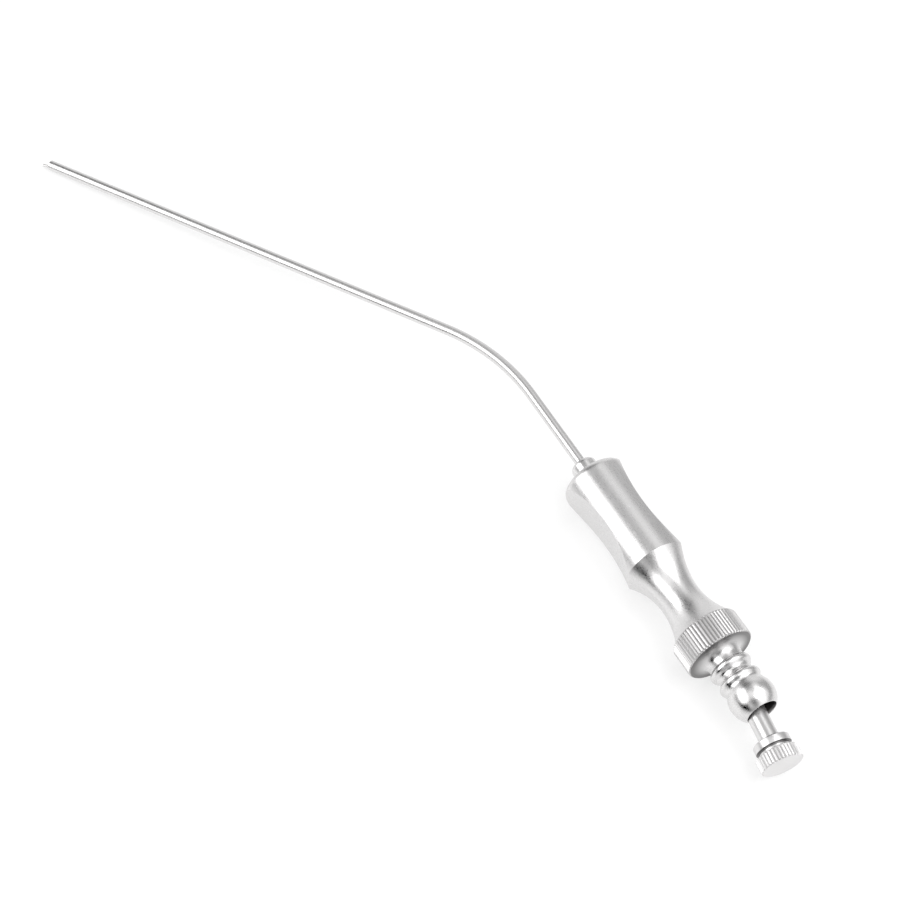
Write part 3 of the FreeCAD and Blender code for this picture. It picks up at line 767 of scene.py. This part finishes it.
flange_x = SHAFT_INSIDE + SHAFT_OUTSIDE
groove_x = flange_x + FLANGE_WIDTH
head_x = groove_x + GROOVE_WIDTH
hub_end = head_x + HEAD_WIDTH
hub_outline = [
    (0.0, WIRE_RADIUS + FIT),
    (0.0, SHAFT_RADIUS - HUB_CHAMFER),
    (HUB_CHAMFER, SHAFT_RADIUS),
    (flange_x, SHAFT_RADIUS),
    (flange_x, FLANGE_RADIUS - HUB_CHAMFER),
    (flange_x + HUB_CHAMFER, FLANGE_RADIUS),
    (groove_x, FLANGE_RADIUS),
    (groove_x, GROOVE_RADIUS),
    (head_x, GROOVE_RADIUS),
    (head_x, HEAD_RADIUS - HUB_CHAMFER),
    (head_x + HUB_CHAMFER, HEAD_RADIUS),
    (hub_end - HUB_CHAMFER, HEAD_RADIUS),
    (hub_end, HEAD_RADIUS - HUB_CHAMFER),
    (hub_end, 0.0),
    (WIRE_SOCKET_DEPTH, 0.0),
    (WIRE_SOCKET_DEPTH, WIRE_RADIUS + FIT),
]
hub_place = hub_frame()
hub_steel = turned_steel("turned_stainless_knob", hub_place, 0.2, (0.26, 0.4), (
    # Painted shade: a narrow band of the groove just behind the flange's lip is painted dark.
    ("#7E7D7D", 0.4, (groove_x - 0.1, groove_x + 0.35, 0.05), (GROOVE_RADIUS - 0.1, FLANGE_RADIUS, 0.05)),
    ("#EBEAEA", 0.45, (head_x, hub_end - 0.1, 0.05), (GROOVE_RADIUS, 2 * HEAD_RADIUS, 0.05)),
    # Painted shade: the bottoms of the head's knurl grooves are painted a little darker.
    ("#D8D7D7", 0.5, (head_x, hub_end - 0.1, 0.05), (GROOVE_RADIUS, HEAD_RADIUS - 0.3 * KNURL_DEPTH, 0.05)),
    ("#E4E3E3", 0.5, (hub_end - 0.1, hub_end + 0.1, 0.05), (-HEAD_RADIUS, HEAD_RADIUS, 0.05)),
))
hub_mesh = turn_piece("stylet_hub_turned", break_corners(hub_outline, HUB_EDGE_BREAK), HEAD_RIDGES,
                      knurl_columns, hub_place, hub_steel, knurl_groove(HEAD_RADIUS))
show_piece("stylet_hub_turned", hub_mesh, "stylet_hub")


# Stylet wire. Hard spring wire of 0.5 mm, fixed in the hub and running loose through the
# handle and the tube, with its square end just past the tip. The solid's own shape is kept.
def wire_steel(name):
    """Drawn spring wire: bright, with fine lines along it."""
    # Drawn wire is a little duller than the tube, with die lines that wander over 0.3 mm.
    material, tree = new_material(name)
    coordinates = add_node(tree, "ShaderNodeTexCoord")
    grain = add_node(tree, "ShaderNodeTexNoise", {"Scale": 3.0 / MM, "Detail": 3.0},
                     {"Vector": coordinates.outputs["Object"]})
    roughness = add_node(tree, "ShaderNodeMapRange", {
        "From Min": 0.3, "From Max": 0.7, "To Min": 0.24, "To Max": 0.38,
    }, {"Value": grain.outputs["Fac"]})
    bump = add_node(tree, "ShaderNodeBump", {"Strength": 1.0, "Distance": 0.002 * MM},
                    {"Height": grain.outputs["Fac"]})
    plain_steel(tree, "#D2D1D1", roughness, bump)
    return material


wire = frame["nodes"]["stylet_wire"]
wire.data.materials.clear()
wire.data.materials.append(wire_steel("drawn_spring_wire"))


# The camera looks down on the table, as the photograph does: from 55 degrees above, with the
# handle running away to the upper left. Distances are in millimetres on the table.
VIEW_TURN = math.radians(119.55)
VIEW_ELEVATION = 55.52
VIEW_DISTANCE = 403.57
LENS = 88.0
SENSOR = 36.0
AIM_LEFT_OF_MOUTH = 51.92
AIM_BEYOND_MOUTH = 57.23
view_right = Vector((math.cos(VIEW_TURN), -math.sin(VIEW_TURN), 0))
view_away = Vector((math.sin(VIEW_TURN), math.cos(VIEW_TURN), 0))
aim = mouth_place - view_right * AIM_LEFT_OF_MOUTH * MM + view_away * AIM_BEYOND_MOUTH * MM
aim.z = 0.0


def studio_direction(azimuth, elevation):
    """A direction from the object: azimuth 0 is away from the camera and 90 to its right."""
    azimuth = math.radians(azimuth)
    elevation = math.radians(elevation)
    level = view_away * math.cos(azimuth) + view_right * math.sin(azimuth)
    return level * math.cos(elevation) + Vector((0, 0, 1)) * math.sin(elevation)


camera_back = studio_direction(180, VIEW_ELEVATION)
camera_data = bpy.data.cameras.new("camera")
camera_data.sensor_fit = "HORIZONTAL"
camera_data.sensor_width = SENSOR
camera_data.lens = LENS
camera = bpy.data.objects.new("camera", camera_data)
camera.matrix_world = frame_matrix(view_right, camera_back.cross(view_right), camera_back,
                                   aim + camera_back * VIEW_DISTANCE * MM)
bpy.context.scene.collection.objects.link(camera)
bpy.context.scene.camera = camera


# Table top. A plain white table with a soft sheen under the instrument. It is lifted to white
# for the camera and in the steel, and keeps the soft shadow.
TABLE_HALF = 3.0
TABLE_LIFT = 0.65
TABLE_SHEEN = 0.3


def stage_piece(name, data, material):
    """A piece of the studio, which isn't part of the object."""
    data.materials.append(material)
    item = bpy.data.objects.new(name, data)
    bpy.context.scene.collection.objects.link(item)
    return item


def table_white(name, colour):
    """A satin white table top, lifted for the camera and in reflections."""
    material, tree = new_material(name)
    top = add_node(tree, "ShaderNodeBsdfDiffuse", {"Color": linear(colour)})
    rays = add_node(tree, "ShaderNodeLightPath").outputs
    seen = add_node(tree, "ShaderNodeMath", {"operation": "ADD"},
                    {0: rays["Is Camera Ray"], 1: rays["Is Glossy Ray"]})
    also = add_node(tree, "ShaderNodeMath", {"operation": "ADD", "use_clamp": True},
                    {0: seen.outputs["Value"], 1: rays["Is Transmission Ray"]})
    strength = add_node(tree, "ShaderNodeMath", {"operation": "MULTIPLY", 1: TABLE_LIFT},
                        {0: also.outputs["Value"]})
    glow = add_node(tree, "ShaderNodeEmission", None, {"Strength": strength.outputs["Value"]})
    white = add_node(tree, "ShaderNodeAddShader", None, {0: top.outputs["BSDF"], 1: glow.outputs["Emission"]})
    sheen = add_node(tree, "ShaderNodeBsdfGlossy", {"Roughness": TABLE_SHEEN})
    grazing = add_node(tree, "ShaderNodeFresnel")
    both = add_node(tree, "ShaderNodeMixShader", None, {
        0: grazing.outputs["Fac"], 1: white.outputs["Shader"], 2: sheen.outputs["BSDF"],
    })
    add_node(tree, "ShaderNodeOutputMaterial", None, {"Surface": both.outputs["Shader"]})
    return material


table_data = bpy.data.meshes.new("table_top")
table_corners = [(x * TABLE_HALF, y * TABLE_HALF, 0) for x, y in ((-1, -1), (1, -1), (1, 1), (-1, 1))]
table_data.from_pydata(table_corners, [], [(0, 1, 2, 3)])
stage_piece("table_top", table_data, table_white("satin_white_table_top", "#A6A6A6"))


# Room. Pale grey walls that the steel reflects, a lighter wall behind the table, and the dark
# side where the camera stands. The camera itself doesn't see them.
ROOM_RADIUS = 2.0
ROOM_GREY = 0.46
ROOM_PATCHES = (
    # what is there: azimuth, elevation, half angles of its middle and its edge, brightness added
    ("low back wall", 4, 8, 12, 36, 0.5),
    ("pale panel over the back wall", 22, 54, 6, 20, 0.45),
    ("pale ceiling", 0, 80, 10, 36, 0.25),
    ("gap beside the left soft box", -38, 42, 8, 32, -0.28),
    ("glow at the left soft box's right foot", -60, 12, 8, 26, 0.62),
    ("glow below the overhead soft box", 88, 40, 8, 30, 0.75),
    ("lower half of the right soft box", 128, 24, 10, 28, 0.85),
    ("pale ceiling behind the camera", -135, 71, 8, 24, 0.55),
    ("dark corner left of the camera", -146, 2, 12, 34, -0.62),
    ("pale card beside the camera", -168, 26, 6, 16, 0.4),
    ("dark camera", 178, 44, 6, 22, -0.26),
)


def room_grey(name):
    """The walls as the steel sees them: grey, with soft lighter and darker patches."""
    material, tree = new_material(name)
    coordinates = add_node(tree, "ShaderNodeTexCoord")
    outward = add_node(tree, "ShaderNodeVectorMath", {"operation": "NORMALIZE"},
                       {0: coordinates.outputs["Object"]}).outputs["Vector"]
    shade = None
    for label, azimuth, elevation, middle, edge, added in ROOM_PATCHES:
        facing = add_node(tree, "ShaderNodeVectorMath", {
            "operation": "DOT_PRODUCT", 1: studio_direction(azimuth, elevation),
        }, {0: outward})
        patch = add_node(tree, "ShaderNodeMapRange", {
            "label": label, "interpolation_type": "SMOOTHSTEP", "To Max": added,
            "From Min": math.cos(math.radians(edge)), "From Max": math.cos(math.radians(middle)),
        }, {"Value": facing.outputs["Value"]})
        total = add_node(tree, "ShaderNodeMath", {"operation": "ADD", 0: ROOM_GREY},
                         {1: patch.outputs["Result"]})
        if shade:
            tree.links.new(shade, total.inputs[0])
        shade = total.outputs["Value"]
    glow = add_node(tree, "ShaderNodeEmission", None, {"Strength": shade})
    add_node(tree, "ShaderNodeOutputMaterial", None, {"Surface": glow.outputs["Emission"]})
    return material


room_mesh = bmesh.new()
bmesh.ops.create_icosphere(room_mesh, subdivisions=4, radius=ROOM_RADIUS)
room_data = bpy.data.meshes.new("room")
room_mesh.to_mesh(room_data)
room_mesh.free()
room = stage_piece("room", room_data, room_grey("pale_grey_room"))
room.visible_camera = False


# Lamps. Two large soft boxes: one at the left, and one overhead to the right.
handle_middle = instrument @ Vector((27 * MM, 0, 0))


def soft_box(name, azimuth, elevation, distance, width, height, radiance):
    """A soft box that faces the handle, its width level and its brightness as a white would be."""
    data = bpy.data.lights.new(name, "AREA")
    data.shape = "RECTANGLE"
    data.size = width
    data.size_y = height
    data.energy = radiance * math.pi * width * height
    lamp = bpy.data.objects.new(name, data)
    back = studio_direction(azimuth, elevation)
    level = Vector((0, 0, 1)).cross(back).normalized()
    lamp.matrix_world = frame_matrix(level, back.cross(level), back, handle_middle + back * distance)
    bpy.context.scene.collection.objects.link(lamp)
    return lamp


soft_box("left_soft_box", azimuth=-100, elevation=37, distance=1.4, width=1.7, height=1.0, radiance=2.0)
soft_box("overhead_soft_box", azimuth=101, elevation=65, distance=1.4, width=1.32, height=0.95, radiance=2.0)

world = bpy.data.worlds.new("white_surroundings")
world.use_nodes = True
world.node_tree.nodes["Background"].inputs["Color"].default_value = (1.0, 1.0, 1.0, 1.0)
bpy.context.scene.world = world
bpy.context.scene.view_settings.view_transform = "Standard"
